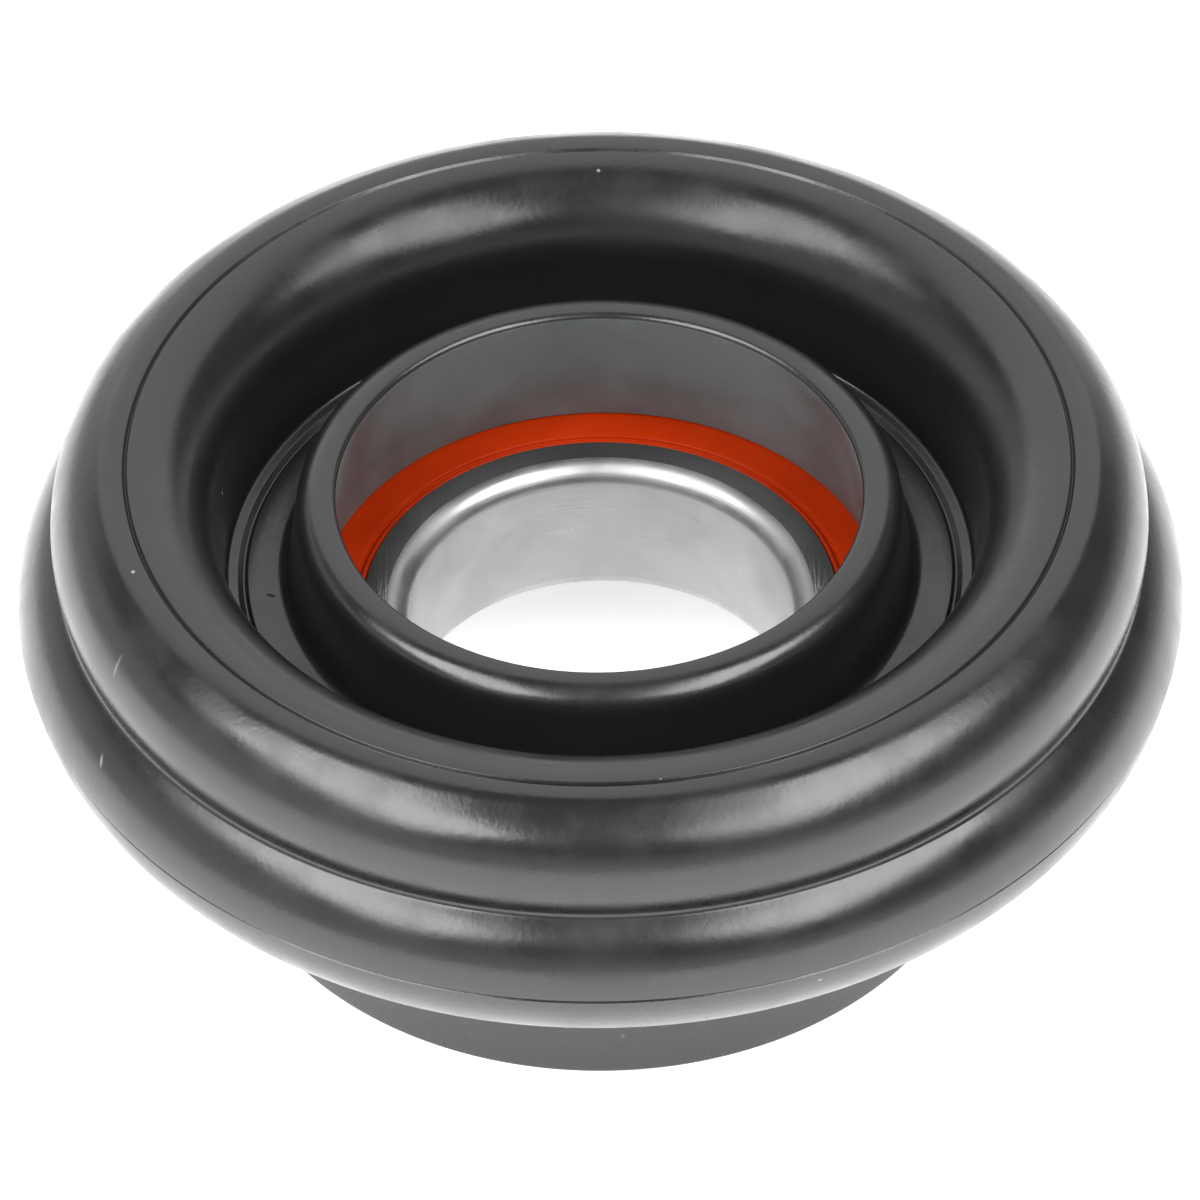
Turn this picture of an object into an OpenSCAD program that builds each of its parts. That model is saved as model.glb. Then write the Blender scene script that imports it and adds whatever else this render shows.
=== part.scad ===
// Driveshaft centre bearing: a moulded rubber cushion that holds a sealed ball bearing.
// The axis of the shaft is Z, and the cushion's skirt stands on the plane z = 0.

/* [Ball bearing] */
// Diameter of the shaft bore
bore_d = 40; // [37:0.5:42]
// Outside diameter of the bearing
bearing_od = 68; // [66:0.5:72]
// Width of the rings
bearing_w = 17; // [15:0.5:22]
// Height of the bearing's lower face above the base
bearing_z = 11.7; // [8:0.1:20]
// Rounding at each end of the bore
lead_r = 2.1; // [0.5:0.1:2.5]
// Diameter of a ball as a share of the space between the bore and the outside
ball_share = 0.567; // [0.5:0.001:0.6]
// Number of balls
ball_count = 12; // [8:1:13]
// Depth of the raceway in each ring as a share of the ball's diameter
race_share = 0.21; // [0.15:0.01:0.25]
// Running gap between a ball and its raceways
race_gap = 0.1; // [0.05:0.01:0.15]
// Chamfer of the outer ring's corners
ring_edge = 0.8; // [0.3:0.1:1.2]

/* [Seals] */
// Thickness of a seal's disc
seal_t = 1.5; // [1:0.1:2]
// How far a seal sits below the ring faces
seal_sink = 0.2; // [0.1:0.05:0.6]
// Radial depth of a seal's seat in the outer ring
seat_r = 1.2; // [0.6:0.1:1.8]
// Running gap between a seal's lip and the inner ring
lip_gap = 0.15; // [0.1:0.05:0.3]
// Width of the lip along a seal's inner edge
lip_w = 0.5; // [0.3:0.1:1]
// Width and depth of the fine groove beside that lip
lip_groove = 0.4; // [0.2:0.1:0.7]
// Clearance of each seated piece in its seat
seat_fit = 0.02; // [0.01:0.01:0.05]

/* [Ball cage] */
// Thickness of the cage sheet
cage_t = 0.8; // [0.5:0.1:1]
// Radial gap between the cage and the shoulders of the rings
cage_gap = 0.6; // [0.3:0.05:1]
// Gap between a ball and its pocket
pocket_gap = 0.15; // [0.1:0.01:0.25]
// Diameter of a rivet's shank
rivet_d = 1.4; // [1:0.1:1.6]
// Diameter of a rivet's head
rivet_head_d = 2.4; // [2:0.1:2.6]
// Height of a rivet's head
rivet_head_h = 0.7; // [0.4:0.1:1]

/* [Cushion core] */
// Rubber around the bearing
core_wall = 6.2; // [4:0.1:9]
// How far the rubber covers the ends of the bearing
cover = 4.8; // [4:0.1:5.5]
// Rubber over the bearing, up to the floor of the trough
roof_t = 4.9; // [3:0.1:8]
// Rubber lip under the bearing
floor_t = 4.2; // [2:0.1:6]
// Wall of the skirt at the base
skirt_wall = 6; // [4:0.1:8]
// Height of the neck above the floor of the trough
neck_h = 10.7; // [7:0.1:14]
// How far the neck leans in at its rim
neck_lean = 2.4; // [1:0.1:3.5]
// Wall of the neck at its foot
neck_wall = 3.1; // [2.8:0.1:5]
// Width of the neck's rim
rim_w = 4; // [3.4:0.1:5]
// Rounding of the rim's outer edge
rim_r = 1.8; // [0.8:0.1:2]

/* [Cushion ring] */
// Width of the floor of the trough
trough_w = 6.2; // [4:0.1:10]
// Width of the shoulder between the floor's groove and the bowl
shoulder_w = 1.1; // [0.6:0.1:2]
// Width of the groove along the floor
floor_groove_w = 1; // [0.5:0.1:1.5]
// Depth of that groove
floor_groove_h = 0.8; // [0.3:0.1:1.5]
// Depth of the trough below the lip
trough_depth = 15.5; // [13:0.1:20]
// How far the bowl opens from the floor to the start of the bead
bowl_flare = 0.9; // [0.5:0.1:3]
// Section radius of the bead on the side of the bowl
bowl_r = 8.2; // [7:0.1:9]
// Width of the flat crest of the bead
crest_w = 0.9; // [0.5:0.1:3]
// Section radius of the bead on the outside
bead_r = 7.7; // [6:0.1:9]
// How far the lower lobe stands out past the bead
lobe_step = 3.9; // [2:0.1:6]
// Drop from the lip to the parting line round the lower lobe
parting_drop = 18.1; // [15:0.1:21]
// Section radius of the lower lobe above the parting line
lobe_top_r = 8; // [7:0.1:9]
// Section radius of the lower lobe below the parting line
lobe_low_r = 9.9; // [8:0.1:11]
// Step of the rubber at the parting line
parting_step = 0.2; // [0.1:0.05:0.4]
// Rounding of the waist between the two lobes
waist_r = 1.6; // [0.5:0.1:3]
// Rounding between the underside of the ring and the core
root_r = 3; // [1:0.1:4]
// Width of the seam along the lip
seam_w = 0.5; // [0.3:0.05:1]

/* [Hidden] */
$fn = 96;

bore_r = bore_d / 2;
bearing_r = bearing_od / 2;
pitch_r = (bore_r + bearing_r) / 2;
ball_d = ball_share * (bearing_r - bore_r);
ball_r = ball_d / 2;
race_depth = race_share * ball_d;
race_r = ball_r + race_gap;
inner_land_r = pitch_r - race_r + race_depth;
outer_land_r = pitch_r + race_r - race_depth;
bearing_top = bearing_z + bearing_w;
bearing_mid = bearing_z + bearing_w / 2;

seal_seat_r = outer_land_r + seat_r;
seal_seat_h = seal_t + seal_sink;
seal_out_r = seal_seat_r - seat_fit;
seal_lip_r = inner_land_r + lip_gap;

pocket_r = ball_r + pocket_gap;
cage_in_r = inner_land_r + cage_gap;
cage_out_r = outer_land_r - cage_gap;
rivet_hole_r = rivet_d / 2 + seat_fit;
rivet_h = 2 * (cage_t + rivet_head_h);
ball_angle = 360 / ball_count;

core_r = bearing_r + core_wall;
mouth_r = bearing_r - cover;
skirt_in_r = core_r - skirt_wall;
floor_z = bearing_z - floor_t;
ledge_z = bearing_top + roof_t;
neck_foot_r = mouth_r + neck_wall;
rim_in_r = mouth_r - neck_lean;
rim_out_r = rim_in_r + rim_w;
rim_z = ledge_z + neck_h;
rim_c = [rim_out_r - rim_r, rim_z - rim_r];

bowl_foot_r = neck_foot_r + trough_w;
floor_groove_r = bowl_foot_r - shoulder_w - floor_groove_w;
lip_z = ledge_z + trough_depth;
bowl_c = [bowl_foot_r + bowl_flare + bowl_r, lip_z - bowl_r];
bead_c = [bowl_c.x + crest_w, lip_z - bead_r];
lobe_r = bead_c.x + bead_r + lobe_step;
parting_z = lip_z - parting_drop;
lobe_top_c = [lobe_r - lobe_top_r, parting_z];
lobe_low_c = [lobe_r - parting_step - lobe_low_r, parting_z];
// How far tangent faces run into each other where they join
bite = 0.005;
waist_c = outer_crossing(bead_c, bead_r + waist_r - bite, lobe_top_c, lobe_top_r + waist_r - bite);
root_x = core_r + root_r - bite;
root_drop = sqrt(pow(lobe_low_r + root_r - bite, 2) - pow(lobe_low_c.x - root_x, 2));
root_c = [root_x, parting_z - root_drop];

// Overlap of cutting tools past the faces they cut
over = 1;

function ball_name(i) = str("ball_", i < 10 ? "0" : "", i);

// The point where two circles cross, on the side away from the axis
function outer_crossing(c1, r1, c2, r2) =
    let (d = norm(c2 - c1))
    let (u = (c2 - c1) / d)
    let (along = (d * d + r1 * r1 - r2 * r2) / (2 * d))
    c1 + along * u + sqrt(r1 * r1 - along * along) * [-u.y, u.x];

// Two sides of the lip bead, and lower lobe in two halves that step at the parting line
module ring_section() {
    translate(bowl_c) circle(bowl_r);
    translate(bead_c) circle(bead_r);
    intersection() {
        translate(lobe_top_c) circle(lobe_top_r);
        translate([0, parting_z - parting_step]) square([lobe_r + over, lobe_top_r + over]);
    }
    intersection() {
        translate(lobe_low_c) circle(lobe_low_r);
        translate([0, parting_z - lobe_low_r - over]) square([lobe_r, lobe_low_r + over]);
    }
}

// Bowl wall and web, from the ring's waist to the core
module web_section() {
    difference() {
        polygon([
            [neck_foot_r, root_c.y], root_c, lobe_low_c, lobe_top_c, waist_c, bead_c,
            [bead_c.x, lip_z - bite], [bowl_c.x, lip_z - bite], bowl_c,
            [bowl_c.x - bowl_r, bowl_c.y], [bowl_foot_r, ledge_z], [neck_foot_r, ledge_z]
        ]);
        translate(waist_c) circle(waist_r);
        translate(root_c) circle(root_r);
        translate([floor_groove_r, ledge_z - floor_groove_h])
            square([floor_groove_w, floor_groove_h + over]);
    }
}

// Core round the bearing, with the skirt below
module core_section() {
    difference() {
        translate([mouth_r, 0]) square([core_r - mouth_r, ledge_z - floor_groove_h]);
        square([skirt_in_r, floor_z]);
    }
}

// Neck that leans in over the bearing, with the trough's floor at its foot
module neck_section() {
    polygon([
        [mouth_r, bearing_top], [floor_groove_r, bearing_top],
        [floor_groove_r, ledge_z], [neck_foot_r, ledge_z],
        [rim_out_r, rim_c.y], rim_c, [rim_c.x, rim_z - bite], [rim_in_r, rim_z - bite]
    ]);
    translate(rim_c) circle(rim_r);
}

// One rubber moulding
module cushion() {
    color([0.07, 0.07, 0.075])
    rotate_extrude()
    difference() {
        union() {
            ring_section();
            web_section();
            core_section();
            neck_section();
        }
        translate([0, bearing_z]) square([bearing_r + seat_fit, bearing_w]);
        translate([bead_c.x - seam_w / 2, lip_z - seam_w / 2]) square(seam_w);
    }
}

// Torus of the raceways, with room for the balls to run
module raceway() {
    translate([pitch_r, bearing_mid]) circle(race_r);
}

module outer_ring() {
    color([0.72, 0.73, 0.74])
    rotate_extrude()
    difference() {
        polygon([
            [outer_land_r, bearing_z], [bearing_r - ring_edge, bearing_z],
            [bearing_r, bearing_z + ring_edge], [bearing_r, bearing_top - ring_edge],
            [bearing_r - ring_edge, bearing_top], [outer_land_r, bearing_top]
        ]);
        raceway();
        translate([0, bearing_top - seal_seat_h]) square([seal_seat_r, seal_seat_h + over]);
        translate([0, bearing_z - over]) square([seal_seat_r, seal_seat_h + over]);
    }
}

// Inner ring: its bore is rounded at both ends to lead the shaft in
module inner_ring() {
    color([0.78, 0.79, 0.80])
    rotate_extrude()
    difference() {
        intersection() {
            translate([bore_r, bearing_z]) square([inner_land_r - bore_r, bearing_w]);
            union() {
                translate([bore_r + lead_r, bearing_z]) square([inner_land_r, bearing_w]);
                translate([bore_r, bearing_z + lead_r]) square([inner_land_r, bearing_w - 2 * lead_r]);
                for (z = [bearing_z + lead_r, bearing_top - lead_r])
                    translate([bore_r + lead_r, z]) circle(lead_r);
            }
        }
        raceway();
    }
}

// Seal with its face up at height 0: a disc, a fine groove and the lip along its inner edge
module seal() {
    color([0.85, 0.22, 0.02])
    rotate_extrude()
    difference() {
        translate([seal_lip_r, -seal_t]) square([seal_out_r - seal_lip_r, seal_t]);
        translate([seal_lip_r + lip_w, -lip_groove]) square([lip_groove, lip_groove + over]);
    }
}

module upper_seal() {
    translate([0, 0, bearing_top - seal_sink]) seal();
}

module lower_seal() {
    translate([0, 0, bearing_z + seal_sink]) mirror([0, 0, 1]) seal();
}

// Places its children at each ball, or a part of a pitch further on
module round_balls(turn = 0) {
    for (i = [0 : ball_count - 1])
        rotate([0, 0, (i + turn) * ball_angle]) translate([pitch_r, 0, 0]) children();
}

// Half of the pressed cage above its parting face at height 0
module cage_half() {
    color([0.62, 0.60, 0.56])
    difference() {
        intersection() {
            union() {
                cylinder(r = cage_out_r, h = cage_t);
                round_balls() sphere(pocket_r + cage_t);
            }
            cylinder(r = cage_out_r, h = ball_d);
        }
        translate([0, 0, -over]) cylinder(r = cage_in_r, h = ball_d + 2 * over);
        round_balls() sphere(pocket_r);
        round_balls(0.5) translate([0, 0, -over]) cylinder(r = rivet_hole_r, h = cage_t + 2 * over);
    }
}

module upper_cage() {
    translate([0, 0, bearing_mid]) cage_half();
}

module lower_cage() {
    translate([0, 0, bearing_mid]) mirror([0, 0, 1]) cage_half();
}

// Rivets through both halves of the cage, headed at each end
module cage_rivets() {
    color([0.55, 0.54, 0.52])
    translate([0, 0, bearing_mid])
    round_balls(0.5) {
        cylinder(d = rivet_d, h = rivet_h, center = true);
        translate([0, 0, cage_t]) cylinder(d = rivet_head_d, h = rivet_head_h);
        mirror([0, 0, 1]) translate([0, 0, cage_t]) cylinder(d = rivet_head_d, h = rivet_head_h);
    }
}

module ball(i) {
    color([0.85, 0.86, 0.88])
    rotate([0, 0, (i - 1) * ball_angle]) translate([pitch_r, 0, bearing_mid]) sphere(ball_r);
}

cushion();
outer_ring();
inner_ring();
upper_seal();
lower_seal();
upper_cage();
lower_cage();
cage_rivets();
for (i = [1 : ball_count])
    ball(i);
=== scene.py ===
import math

import bpy
from mathutils import Matrix, Vector


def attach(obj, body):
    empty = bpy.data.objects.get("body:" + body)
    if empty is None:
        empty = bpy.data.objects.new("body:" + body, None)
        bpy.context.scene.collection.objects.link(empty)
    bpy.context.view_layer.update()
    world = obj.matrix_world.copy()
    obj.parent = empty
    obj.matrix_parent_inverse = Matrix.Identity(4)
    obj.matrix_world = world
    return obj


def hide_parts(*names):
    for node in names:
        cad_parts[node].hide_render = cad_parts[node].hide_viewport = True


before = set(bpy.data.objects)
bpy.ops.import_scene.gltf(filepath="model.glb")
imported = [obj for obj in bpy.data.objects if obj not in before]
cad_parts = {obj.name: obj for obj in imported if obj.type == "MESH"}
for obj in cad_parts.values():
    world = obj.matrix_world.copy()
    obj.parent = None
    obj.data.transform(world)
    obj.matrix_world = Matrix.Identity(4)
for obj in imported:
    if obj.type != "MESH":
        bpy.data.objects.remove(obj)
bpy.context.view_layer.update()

# Lengths are in millimetres and angles in degrees, unless a comment says otherwise
MM = 0.001

# Bearing, as in the CAD
BORE_R = 20.0
BEARING_R = 34.0
BEARING_W = 17.0
BEARING_Z = 11.7
LEAD_R = 2.1
RACE_R = 4.069
INNER_LAND_R = 24.598
PITCH_R = (BORE_R + BEARING_R) / 2
BEARING_TOP = BEARING_Z + BEARING_W
BEARING_MID = BEARING_Z + BEARING_W / 2

# Seals, as in the CAD but for a lower, thinner lip and a groove with sloping sides
SEAL_T = 1.5
SEAL_SINK = 0.2
SEAL_IN_R = 24.748
SEAL_OUT_R = 30.582
SEAL_LIP_W = 0.5
SEAL_LIP_T = 1.1
SEAL_LIP_DROP = 0.05
SEAL_GROOVE_W = 0.3
SEAL_GROOVE_H = 0.4
SEAL_GROOVE_SLOPE = 0.1

# Rubber cushion, as in the CAD
CORE_R = 40.2
MOUTH_R = 29.2
SKIRT_IN_R = 34.2
FLOOR_Z = 7.5
LEDGE_Z = 33.6
NECK_FOOT_R = 32.3
RIM_IN_R = 26.8
RIM_OUT_R = 30.8
RIM_Z = 44.3
GROOVE_R = 36.4
GROOVE_W = 1.0
GROOVE_H = 0.8
BOWL_FOOT_R = 38.5
LIP_Z = 49.1
BOWL_R = 8.2
BOWL_C = (47.6, 40.9)
BEAD_R = 7.7
BEAD_C = (48.5, 41.4)
PARTING_Z = 31.0
PARTING_STEP = 0.2
LOBE_TOP_R = 8.0
LOBE_TOP_C = (52.1, 31.0)
LOBE_LOW_R = 9.9
LOBE_LOW_C = (50.0, 31.0)
ROOT_R = 3.0
SEAM_W = 0.5

# Finer shapes of the cushion that differ from the CAD, to follow the photo more closely
RIM_R = 2.6
WAIST_R = 0.7
SEAM_H = 0.42
SEAM_END = (0.05, -0.02)
BAND_W = 2.1
BAND_R = 3.0
BAND_END_ANGLE = 62
GROOVE_STEP = 0.1
# The groove at the parting line, as (outward, up) from the lower lobe's widest point
PARTING_GROOVE = [(PARTING_STEP, -0.05), (-0.2, -0.2), (-0.2, -0.45)]
PARTING_GROOVE_H = 0.6

# Rounding of edges and inner corners
RING_EDGE_R = 0.15
SEAL_EDGE_R = 0.15
SEAL_LIP_EDGE_R = 0.2
SEAL_GROOVE_EDGE_R = 0.08
SKIRT_EDGE_R = 0.5
SKIRT_CORNER_R = 1.0
MOUTH_EDGE_R = 0.6
RIM_INNER_EDGE_R = 0.7
NECK_CORNER_R = 1.2
GROOVE_EDGE_R = 0.15
GROOVE_CORNER_R = 0.3
BOWL_CORNER_R = 0.5
SEAM_EDGE_R = 0.1
SEAM_CORNER_R = 0.06

# Fineness of the meshes: angles along arcs, longest sides of an outline, and segments of a turn
LOBE_ARC_STEP = 3.0
FILLET_ARC_STEP = 8.0
RING_ARC_STEP = 6.0
CORNER_ARC_STEP = 15.0
CUSHION_SIDE = 1.2
RING_SIDE = 1.5
SEAL_SIDE = 0.9
CUSHION_SEGMENTS = 384
BEARING_SEGMENTS = 256
SHARP_ANGLE = 38

# Where one look gives way to another: heights and radii on the cushion, and the faces of the ring
SKIRT_ZONE = (18.0, 20.0)
LOWER_LOBE_ZONE = (30.7, 30.85)
BOWL_FOOT_ZONE = (38.3, 38.8)
SEAM_ZONE = (43.2, 44.2)
NECK_FACE_TOP = RIM_Z - 0.4
BORE_FACE_R = BORE_R + 0.01
# Colour ramps run from 0 to 1, so heights and radii in metres are scaled up into that range
HEIGHT_SCALE = 20
RADIUS_SCALE = 10


def arc(centre, radius, start, end, step):
    """Points along an arc in the section, angles in degrees from the outward direction."""
    count = max(2, round(abs(end - start) / step))
    points = []
    for i in range(count + 1):
        angle = math.radians(start + (end - start) * i / count)
        points.append((centre[0] + radius * math.cos(angle), centre[1] + radius * math.sin(angle)))
    return points


def bearing_angle(centre, point):
    """Angle in degrees from one point of the section to another."""
    return math.degrees(math.atan2(point[1] - centre[1], point[0] - centre[0]))


def rounded(corners):
    """Points along a chain of (r, z, radius) corners, each rounded by its radius but for the ends."""
    points = []
    for i, (r, z, radius) in enumerate(corners):
        at = Vector((r, z))
        if radius == 0 or i in (0, len(corners) - 1):
            points.append((r, z))
            continue
        back = (Vector(corners[i - 1][:2]) - at).normalized()
        ahead = (Vector(corners[i + 1][:2]) - at).normalized()
        half = back.angle(ahead) / 2
        centre = at + (back + ahead).normalized() * (radius / math.sin(half))
        first = at + back * (radius / math.tan(half))
        last = at + ahead * (radius / math.tan(half))
        start = bearing_angle(centre, first)
        turn = (bearing_angle(centre, last) - start + 180) % 360 - 180
        points += arc(centre, radius, start, start + turn, CORNER_ARC_STEP)
    return points


def crossing(c1, r1, c2, r2):
    """The point where two circles of the section cross, on the side away from the axis."""
    a = Vector(c1)
    line = Vector(c2) - a
    d = line.length
    u = line / d
    along = (d * d + r1 * r1 - r2 * r2) / (2 * d)
    return a + along * u + math.sqrt(r1 * r1 - along * along) * Vector((-u.y, u.x))


def refine(points, longest):
    """The same closed outline with no side longer than a given length."""
    result = []
    for i, (r0, z0) in enumerate(points):
        r1, z1 = points[(i + 1) % len(points)]
        parts = max(1, math.ceil(math.hypot(r1 - r0, z1 - z0) / longest))
        result += [(r0 + (r1 - r0) * k / parts, z0 + (z1 - z0) * k / parts) for k in range(parts)]
    return result


def add_mesh(name, verts, faces, material, body):
    """A new piece of the object, riding on a CAD body."""
    mesh = bpy.data.meshes.new(name)
    mesh.from_pydata(verts, [], faces)
    mesh.polygons.foreach_set("use_smooth", [True] * len(mesh.polygons))
    mesh.set_sharp_from_angle(angle=math.radians(SHARP_ANGLE))
    mesh.materials.append(material)
    piece = bpy.data.objects.new(name, mesh)
    bpy.context.scene.collection.objects.link(piece)
    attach(piece, body)
    return piece


def lathe(name, section, segments, material, body):
    """Turns a closed outline, listed anticlockwise in (r, z), about the Z axis."""
    count = len(section)
    verts = []
    for s in range(segments):
        angle = 2 * math.pi * s / segments
        c, d = math.cos(angle) * MM, math.sin(angle) * MM
        verts += [(r * c, r * d, z * MM) for r, z in section]
    faces = []
    for s in range(segments):
        here, there = s * count, (s + 1) % segments * count
        for k in range(count):
            k1 = (k + 1) % count
            faces.append((here + k, there + k, there + k1, here + k1))
    return add_mesh(name, verts, faces, material, body)


def new_material(name, color, metallic, roughness, specular=0.5):
    """A new material and its Principled shader."""
    material = bpy.data.materials.new(name)
    material.use_nodes = True
    shader = material.node_tree.nodes["Principled BSDF"]
    shader.inputs["Base Color"].default_value = (*color, 1)
    shader.inputs["Metallic"].default_value = metallic
    shader.inputs["Roughness"].default_value = roughness
    shader.inputs["Specular IOR Level"].default_value = specular
    return material, shader


def add_node(material, kind, **values):
    """A node of a material; values set its inputs by name."""
    made = material.node_tree.nodes.new(kind)
    for key, value in values.items():
        made.inputs[key.replace("_", " ")].default_value = value
    return made


def wire(material, source, target):
    """Links an output of a node to an input of another."""
    material.node_tree.links.new(source, target)


def place_vector(material, scale=(1, 1, 1)):
    """Coordinates in the part's frame, scaled along each axis."""
    coordinates = add_node(material, "ShaderNodeTexCoord")
    mapping = add_node(material, "ShaderNodeMapping", Scale=scale)
    wire(material, coordinates.outputs["Object"], mapping.inputs["Vector"])
    return mapping.outputs["Vector"]


def noise(material, vector, scale, detail=3.0, rough=0.6):
    """Noise from 0 to 1; its scale is the number of features per unit of the vector."""
    made = add_node(material, "ShaderNodeTexNoise", Scale=scale, Detail=detail, Roughness=rough)
    wire(material, vector, made.inputs["Vector"])
    return made.outputs["Fac"]


def ramp(material, fac, low, high, low_color, high_color):
    """A colour ramp between two colours, over part of the input's range."""
    made = material.node_tree.nodes.new("ShaderNodeValToRGB")
    first, last = made.color_ramp.elements
    first.position, last.position = low, high
    first.color, last.color = (*low_color, 1), (*high_color, 1)
    wire(material, fac, made.inputs["Fac"])
    return made.outputs["Color"]


def grey(value):
    """A colour with three equal parts."""
    return (value, value, value)


def add_bump(material, shader, height, strength, distance):
    """A bump on the shader's normal; its distance is in metres."""
    bump = add_node(material, "ShaderNodeBump", Strength=strength, Distance=distance)
    wire(material, height, bump.inputs["Height"])
    wire(material, bump.outputs["Normal"], shader.inputs["Normal"])


def combine(material, operation, *inputs):
    """One value from two or more inputs, by a math operation."""
    result = inputs[0]
    for other in inputs[1:]:
        made = material.node_tree.nodes.new("ShaderNodeMath")
        made.operation = operation
        wire(material, result, made.inputs[0])
        wire(material, other, made.inputs[1])
        result = made.outputs["Value"]
    return result


def length(material, vector):
    """The length of a vector."""
    made = material.node_tree.nodes.new("ShaderNodeVectorMath")
    made.operation = "LENGTH"
    wire(material, vector, made.inputs[0])
    return made.outputs["Value"]


def blend(material, value, scale, zone, below, above):
    """A grey that changes across a zone of heights or radii; the value is in metres times the scale."""
    low, high = [limit * MM * scale for limit in zone]
    return ramp(material, value, low, high, grey(below), grey(above))


def mark(material, place, start, end, width):
    """A mask of a slim mark on the surface, between two points of the part."""
    first, last = Vector(start), Vector(end)
    middle = (first + last) / 2 * MM
    along = (last - first).to_track_quat("X", "Z").to_euler()
    mapping = add_node(material, "ShaderNodeMapping", Location=middle, Rotation=along)
    mapping.vector_type = "TEXTURE"
    half = (last - first).length / 2 * MM
    mapping.inputs["Scale"].default_value = (half, width * MM, width * MM)
    wire(material, place, mapping.inputs["Vector"])
    ball = material.node_tree.nodes.new("ShaderNodeTexGradient")
    ball.gradient_type = "SPHERICAL"
    wire(material, mapping.outputs["Vector"], ball.inputs["Vector"])
    return ball.outputs["Fac"]


def rubber_material():
    """Satin black moulded rubber with handling smears, a few marks, a little dust, and a skirt painted
    paler as painted light from the floor.
    """
    material, shader = new_material("cushion rubber", grey(0.01), 0.0, 0.3, 0.6)
    place = place_vector(material)
    smear = noise(material, place_vector(material, (1, 1, 0.4)), 110.0, 5.0, 0.62)
    wire(material, ramp(material, smear, 0.34, 0.66, grey(0.2), grey(0.34)), shader.inputs["Roughness"])
    # The skirt has a cleaner, shinier skin than the ring
    split = add_node(material, "ShaderNodeSeparateXYZ")
    wire(material, place_vector(material, (1, 1, HEIGHT_SCALE)), split.inputs["Vector"])
    height = split.outputs["Z"]
    skirt = blend(material, height, HEIGHT_SCALE, SKIRT_ZONE, 1.0, 0.0)
    ring = blend(material, height, HEIGHT_SCALE, LOWER_LOBE_ZONE, 0.72, 0.7)
    shine = combine(material, "MAXIMUM", skirt, ring)
    # The bowl from its foot up to the lip is duller than the rest
    radius = length(material, place_vector(material, (RADIUS_SCALE, RADIUS_SCALE, 0)))
    within_foot = blend(material, radius, RADIUS_SCALE, BOWL_FOOT_ZONE, 1.0, 0.62)
    near_seam = blend(material, radius, RADIUS_SCALE, SEAM_ZONE, 0.62, 1.0)
    bowl = combine(material, "MAXIMUM", within_foot, near_seam)
    # A small scuff on the trough's floor
    scuff = mark(material, place, (-34.6, -3.6, 33.6), (-33.1, -4.2, 33.6), 0.35)
    unworn = ramp(material, scuff, 0.15, 0.6, grey(1.0), grey(0.15))
    level = combine(material, "MULTIPLY", shine, bowl, unworn)
    wire(material, level, shader.inputs["Specular IOR Level"])
    # A little dust, as small dots in some of the cells
    dust = add_node(material, "ShaderNodeTexVoronoi", Scale=130.0)
    wire(material, place, dust.inputs["Vector"])
    dots = ramp(material, dust.outputs["Distance"], 0.022, 0.03, grey(1.0), grey(0.0))
    chosen = ramp(material, dust.outputs["Color"], 0.62, 0.64, grey(0.0), grey(1.0))
    specks = combine(material, "MULTIPLY", dots, chosen)
    # A pale scratch on the left of the bead, and one on the left of the lower lobe
    bead_scratch = mark(material, place, (-47.5, -25.8, 46.7), (-48.9, -27.1, 43.8), 0.35)
    lobe_scratch = mark(material, place, (-50.1, -29.4, 36.3), (-50.4, -30.9, 35.0), 0.3)
    # The skirt is painted a little greyer than the ring: painted light standing in for the bright
    # floor's reflection on it
    skirt_painted_light = blend(material, height, HEIGHT_SCALE, SKIRT_ZONE, 0.26, 0.0)
    # Dust, scratches and the skirt's painted light together lift the base colour
    pale = combine(material, "MAXIMUM", specks, skirt_painted_light, bead_scratch, lobe_scratch)
    wire(material, ramp(material, pale, 0.1, 0.9, grey(0.01), grey(0.22)), shader.inputs["Base Color"])
    add_bump(material, shader, noise(material, place, 1500.0, 2.0), 0.05, 0.0003)
    return material


def neck_rubber_material():
    """The neck's inner face: the same rubber, dulled by the moulding core, with a faint blue-green cast
    painted into its grey to cancel the seal's orange bounce light.
    """
    material, shader = new_material("dull neck rubber", (0.09, 0.098, 0.0985), 0.0, 0.5, 0.4)
    place = place_vector(material)
    cloud = noise(material, place, 55.0, 4.0, 0.6)
    # The slight blue-green lean of these greys is painted to cancel the orange light the seal throws
    # here
    wire(material, ramp(material, cloud, 0.35, 0.65, (0.067, 0.074, 0.0745), (0.128, 0.137, 0.1375)),
         shader.inputs["Base Color"])
    wire(material, ramp(material, cloud, 0.35, 0.65, grey(0.38), grey(0.6)), shader.inputs["Roughness"])
    add_bump(material, shader, noise(material, place, 1500.0, 2.0), 0.05, 0.0003)
    return material


def steel_material(name, color, roughness, bump_scale, bump_strength):
    """Steel with cloudy wear, and a fine bump with a scale of its own along each axis."""
    material, shader = new_material(name, color, 1.0, roughness)
    place = place_vector(material)
    worn = noise(material, place, 120.0, 4.0)
    wire(material, ramp(material, worn, 0.35, 0.7, grey(roughness * 0.75), grey(roughness * 1.25)),
         shader.inputs["Roughness"])
    fine = noise(material, place_vector(material, bump_scale), 1.0)
    add_bump(material, shader, fine, bump_strength, 0.0001)
    return material


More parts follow.
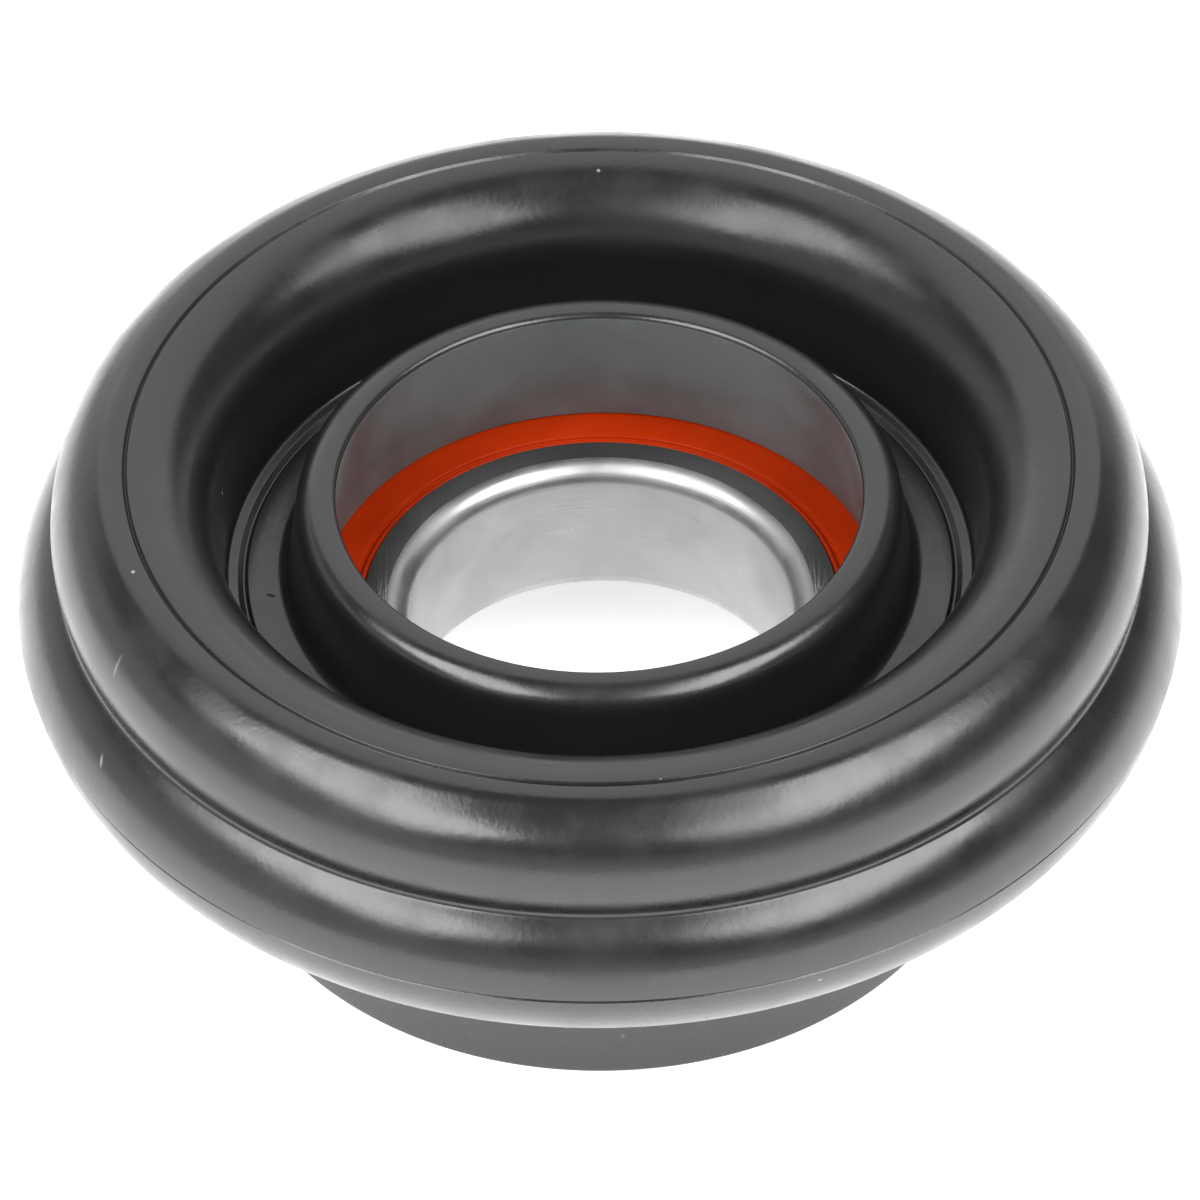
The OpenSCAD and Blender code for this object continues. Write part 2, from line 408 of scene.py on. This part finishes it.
def seal_material():
    """Smooth orange-red seal rubber, its colour painted darker than its own as painted shade for its
    place deep in the neck.
    """
    material, shader = new_material("seal rubber", (0.33, 0.02, 0.0005), 0.0, 0.46, 0.1)
    place = place_vector(material)
    # The orange is painted darker than the seal's own colour: painted shade for the dim light deep in
    # the neck
    cloud = noise(material, place, 160.0, 3.0)
    wire(material, ramp(material, cloud, 0.3, 0.7, (0.3, 0.017, 0.0004), (0.355, 0.022, 0.0005)),
         shader.inputs["Base Color"])
    wire(material, ramp(material, cloud, 0.3, 0.7, grey(0.36), grey(0.5)), shader.inputs["Roughness"])
    add_bump(material, shader, noise(material, place, 1800.0, 2.0), 0.05, 0.0002)
    return material


def cushion_section():
    """Outline of the rubber moulding, with the edges rounded."""
    waist = crossing(BEAD_C, BEAD_R + WAIST_R, LOBE_TOP_C, LOBE_TOP_R + WAIST_R)
    root_dx = LOBE_LOW_C[0] - CORE_R - ROOT_R
    root = (CORE_R + ROOT_R, PARTING_Z - math.sqrt((LOBE_LOW_R + ROOT_R) ** 2 - root_dx ** 2))
    # The parting line is a fine groove under the upper lobe's edge
    widest = (LOBE_LOW_C[0] + LOBE_LOW_R, PARTING_Z)
    parting = [(widest[0] + out, widest[1] + up) for out, up in PARTING_GROOVE]
    groove_angle = -math.degrees(math.asin(PARTING_GROOVE_H / LOBE_LOW_R))
    inside = rounded([
        (SKIRT_IN_R, 0.0, 0),
        (SKIRT_IN_R, FLOOR_Z, SKIRT_CORNER_R),
        (MOUTH_R, FLOOR_Z, MOUTH_EDGE_R),
        (MOUTH_R, BEARING_Z, 0),
        (BEARING_R, BEARING_Z, 0),
        (BEARING_R, BEARING_TOP, 0),
        (MOUTH_R, BEARING_TOP, 0),
        (RIM_IN_R, RIM_Z, RIM_INNER_EDGE_R),
        (RIM_OUT_R, RIM_Z, RIM_R),
        (NECK_FOOT_R, LEDGE_Z, NECK_CORNER_R),
        (GROOVE_R, LEDGE_Z, GROOVE_EDGE_R),
        (GROOVE_R, LEDGE_Z - GROOVE_H, GROOVE_CORNER_R),
        (GROOVE_R + GROOVE_W, LEDGE_Z - GROOVE_STEP, GROOVE_CORNER_R),
        (BOWL_FOOT_R, LEDGE_Z, BOWL_CORNER_R),
        (BOWL_C[0] - BOWL_R, BOWL_C[1], 0),
    ])[1:-1]
    bowl = arc(BOWL_C, BOWL_R, 180, 90, LOBE_ARC_STEP)
    # A flat band runs beside the seam before the bead falls away
    bead = arc(BEAD_C, BEAD_R, BAND_END_ANGLE, bearing_angle(BEAD_C, waist), LOBE_ARC_STEP)
    seam = rounded([
        (BOWL_C[0], LIP_Z, 0),
        (BEAD_C[0] - SEAM_W, LIP_Z, SEAM_EDGE_R),
        (BEAD_C[0] - SEAM_W / 2, LIP_Z - SEAM_H, SEAM_CORNER_R),
        (BEAD_C[0] + SEAM_END[0], LIP_Z + SEAM_END[1], SEAM_EDGE_R),
        (BEAD_C[0] + BAND_W, LIP_Z, BAND_R),
        (*bead[0], 0),
    ])[1:-1]
    waist_start = bearing_angle(waist, BEAD_C)
    waist_end = bearing_angle(waist, LOBE_TOP_C) + 360
    waist_arc = arc(waist, WAIST_R, waist_start, waist_end, FILLET_ARC_STEP)
    lobe_top = arc(LOBE_TOP_C, LOBE_TOP_R, bearing_angle(LOBE_TOP_C, waist), 0, LOBE_ARC_STEP)
    root_angle = bearing_angle(LOBE_LOW_C, root)
    lobe_low = arc(LOBE_LOW_C, LOBE_LOW_R, groove_angle, root_angle, LOBE_ARC_STEP)
    root_arc = arc(root, ROOT_R, bearing_angle(root, LOBE_LOW_C), 180, FILLET_ARC_STEP)
    skirt = rounded([
        (CORE_R, root[1], 0),
        (CORE_R, 0.0, SKIRT_EDGE_R),
        (SKIRT_IN_R, 0.0, SKIRT_EDGE_R),
        (SKIRT_IN_R, FLOOR_Z, 0),
    ])[1:-1]
    clockwise = (
        inside + bowl + seam + bead + waist_arc[1:] + lobe_top[1:]
        + parting + lobe_low + root_arc[1:] + skirt
    )
    return refine(clockwise[::-1], CUSHION_SIDE)


def inner_ring_section():
    """Outline of the inner ring: bore with rounded ends, faces, land and raceway."""
    half = math.degrees(math.acos((PITCH_R - INNER_LAND_R) / RACE_R))
    lead_r = BORE_R + LEAD_R
    low_lead = arc((lead_r, BEARING_Z + LEAD_R), LEAD_R, 180, 270, RING_ARC_STEP)
    low_face = rounded([
        (lead_r, BEARING_Z, 0),
        (INNER_LAND_R, BEARING_Z, RING_EDGE_R),
        (INNER_LAND_R, BEARING_MID, 0),
    ])[1:-1]
    race = arc((PITCH_R, BEARING_MID), RACE_R, 180 + half, 180 - half, RING_ARC_STEP)
    top_face = rounded([
        (INNER_LAND_R, BEARING_MID, 0),
        (INNER_LAND_R, BEARING_TOP, RING_EDGE_R),
        (lead_r, BEARING_TOP, 0),
    ])[1:-1]
    top_lead = arc((lead_r, BEARING_TOP - LEAD_R), LEAD_R, 90, 180, RING_ARC_STEP)
    return refine(low_lead + low_face + race + top_face + top_lead, RING_SIDE)


def seal_section(face, up):
    """Outline of a seal whose face is at a height and looks up (1) or down (-1)."""
    lip_r = SEAL_IN_R + SEAL_LIP_W
    groove_in_r = lip_r + SEAL_GROOVE_SLOPE
    groove_out_r = groove_in_r + SEAL_GROOVE_W
    corners = [
        (SEAL_IN_R, -SEAL_LIP_T, SEAL_EDGE_R),
        (SEAL_IN_R, -SEAL_LIP_DROP, SEAL_LIP_EDGE_R),
        (lip_r, -SEAL_LIP_DROP, SEAL_LIP_EDGE_R),
        (groove_in_r, -SEAL_GROOVE_H, SEAL_GROOVE_EDGE_R),
        (groove_out_r, -SEAL_GROOVE_H, SEAL_GROOVE_EDGE_R),
        (groove_out_r + SEAL_GROOVE_SLOPE, 0.0, SEAL_EDGE_R),
        (SEAL_OUT_R, 0.0, SEAL_EDGE_R),
        (SEAL_OUT_R, -SEAL_T, SEAL_EDGE_R),
        (groove_out_r, -SEAL_T, SEAL_EDGE_R),
    ]
    closed = rounded([corners[-1]] + corners + [corners[0]])[1:-1]
    points = [(r, face + up * z) for r, z in closed]
    return refine(points[::-1] if up > 0 else points, SEAL_SIDE)


def axis_distance(polygon):
    """How far a polygon's centre is from the Z axis."""
    return math.hypot(polygon.center.x, polygon.center.y) / MM


rubber = rubber_material()
neck_rubber = neck_rubber_material()
face_steel = steel_material("ground ring face", (0.43, 0.43, 0.43), 0.19, (2600, 300, 200), 0.5)
lead_steel = steel_material("turned lead", (0.42, 0.42, 0.416), 0.5, (60, 60, 6000), 0.25)
# The bore's steel is painted darker than the face's: painted shade for the shadowed floor it reflects
shaded_bore_steel = steel_material("ground bore painted shade", (0.35, 0.35, 0.348), 0.36, (60, 60, 6000), 0.3)
outer_steel = steel_material("outer ring steel", (0.56, 0.56, 0.56), 0.3, (60, 60, 5000), 0.2)
cage_steel = steel_material("pressed cage steel", (0.5, 0.49, 0.46), 0.4, (900, 900, 900), 0.15)
ball_steel = steel_material("ball steel", (0.75, 0.75, 0.77), 0.12, (700, 700, 700), 0.03)
orange = seal_material()

cushion = lathe(
    "cushion_moulding", cushion_section(), CUSHION_SEGMENTS, rubber, "housing"
)
cushion.data.materials.append(neck_rubber)
for polygon in cushion.data.polygons:
    within_neck = BEARING_TOP < polygon.center.z / MM < NECK_FACE_TOP
    polygon.material_index = int(within_neck and axis_distance(polygon) < MOUTH_R)
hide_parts("cushion")
inner = lathe(
    "inner_ring_turned", inner_ring_section(), BEARING_SEGMENTS, face_steel, "rotor"
)
inner.data.materials.append(lead_steel)
inner.data.materials.append(shaded_bore_steel)
for polygon in inner.data.polygons:
    if axis_distance(polygon) < BORE_FACE_R:
        polygon.material_index = 2
    elif axis_distance(polygon) < BORE_R + LEAD_R:
        polygon.material_index = 1
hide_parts("inner_ring")
upper_section = seal_section(BEARING_TOP - SEAL_SINK, 1)
upper = lathe("upper_seal_disc", upper_section, BEARING_SEGMENTS, orange, "housing")
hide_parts("upper_seal")
lower_section = seal_section(BEARING_Z + SEAL_SINK, -1)
lower = lathe("lower_seal_disc", lower_section, BEARING_SEGMENTS, orange, "housing")
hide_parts("lower_seal")

# Pieces shown as the CAD has them
node_materials = {
    "outer_ring": outer_steel,
    "upper_cage": cage_steel,
    "lower_cage": cage_steel,
    "cage_rivets": cage_steel,
}
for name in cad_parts:
    if name.startswith("ball_"):
        node_materials[name] = ball_steel
for name, material in node_materials.items():
    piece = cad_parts[name]
    piece.data.materials.clear()
    piece.data.materials.append(material)

# Floor
floor_material, floor_shader = new_material("studio floor", grey(0.9), 0.0, 0.9, 0.0)
floor_noise = noise(floor_material, place_vector(floor_material), 3.0)
wire(floor_material, ramp(floor_material, floor_noise, 0.3, 0.7, grey(0.89), grey(0.91)),
     floor_shader.inputs["Base Color"])
# The camera and reflections see the floor brighter, so that it stays white under the part
CAMERA_GLOW = 0.75
GLOSSY_GLOW = 1.0
# The glow in reflections fades between two distances from the axis, in metres
FADE_START = 0.12
FADE_END = 0.35
floor_nodes = floor_material.node_tree.nodes
floor_path = floor_nodes.new("ShaderNodeLightPath")
floor_far = length(floor_material, place_vector(floor_material, (1, 1, 0)))
fade = ramp(floor_material, floor_far, FADE_START, FADE_END, grey(1.0), grey(0.8))
surface = floor_shader.outputs["BSDF"]
for ray, strength in (("Is Camera Ray", CAMERA_GLOW), ("Is Glossy Ray", GLOSSY_GLOW)):
    glow = add_node(floor_material, "ShaderNodeEmission", Strength=strength)
    if ray == "Is Glossy Ray":
        wire(floor_material, fade, glow.inputs["Color"])
    lit = floor_nodes.new("ShaderNodeAddShader")
    wire(floor_material, floor_shader.outputs["BSDF"], lit.inputs[0])
    wire(floor_material, glow.outputs["Emission"], lit.inputs[1])
    seen = floor_nodes.new("ShaderNodeMixShader")
    wire(floor_material, floor_path.outputs[ray], seen.inputs["Fac"])
    wire(floor_material, surface, seen.inputs[1])
    wire(floor_material, lit.outputs["Shader"], seen.inputs[2])
    surface = seen.outputs["Shader"]
wire(floor_material, surface, floor_nodes["Material Output"].inputs["Surface"])
# Half the floor's width, in metres
FLOOR_HALF = 4
floor_corners = [(x * FLOOR_HALF, y * FLOOR_HALF, 0) for x, y in ((-1, -1), (1, -1), (1, 1), (-1, 1))]
floor_mesh = bpy.data.meshes.new("floor")
floor_mesh.from_pydata(floor_corners, [], [(0, 1, 2, 3)])
floor_mesh.materials.append(floor_material)
floor = bpy.data.objects.new("floor", floor_mesh)
bpy.context.scene.collection.objects.link(floor)

# World: pale walls, higher on the left than on the right, and a dim ceiling
WALL_TOP = 0.22
CEILING_START = 0.42
world = bpy.data.worlds.new("studio")
bpy.context.scene.world = world
world.use_nodes = True
surround = world.node_tree.nodes["Background"]
direction = add_node(world, "ShaderNodeTexCoord")
rise = world.node_tree.nodes.new("ShaderNodeVectorMath")
rise.operation = "DOT_PRODUCT"
rise.inputs[1].default_value = (0.15, 0.0, 1.0)
wire(world, direction.outputs["Generated"], rise.inputs[0])
sky = ramp(world, rise.outputs["Value"], WALL_TOP, CEILING_START, grey(1.0), grey(0.15))
wire(world, sky, surround.inputs["Color"])


def add_softbox(name, place, tilt, size, power):
    """A rectangular soft light, in metres and watts; its tilt about X and Y is from straight down."""
    light = bpy.data.lights.new(name, "AREA")
    light.shape = "RECTANGLE"
    light.size, light.size_y = size
    light.energy = power
    lamp = bpy.data.objects.new(name, light)
    lamp.location = place
    lamp.rotation_euler = (math.radians(tilt[0]), math.radians(tilt[1]), 0)
    bpy.context.scene.collection.objects.link(lamp)


# Two panels over the left and the right with a dark gap between them, and a paler one behind
add_softbox("left softbox", (-0.62, -0.53, 0.98), (0, -37), (0.6, 1.2), 18.8)
add_softbox("right softbox", (0.59, -0.53, 0.98), (0, 37), (0.6, 1.2), 18.0)
add_softbox("back panel", (0, 1.1, 1.05), (-48, 0), (2.0, 1.2), 8.4)

# Camera, solved from the photo's ellipses; its place is in metres
CAMERA_PLACE = (-0.00005, -0.6135, 0.6)
CAMERA_PITCH = 42.96
CAMERA_ROLL = -0.78
camera_data = bpy.data.cameras.new("photo camera")
camera_data.lens = 242.9
camera_data.sensor_width = 36.0
camera_data.clip_end = 20.0
camera = bpy.data.objects.new("photo camera", camera_data)
tilt = Matrix.Rotation(math.radians(90 - CAMERA_PITCH), 4, "X")
roll = Matrix.Rotation(math.radians(CAMERA_ROLL), 4, "Z")
camera.matrix_world = Matrix.Translation(CAMERA_PLACE) @ tilt @ roll
bpy.context.scene.collection.objects.link(camera)
bpy.context.scene.camera = camera

bpy.context.scene.view_settings.view_transform = "Standard"
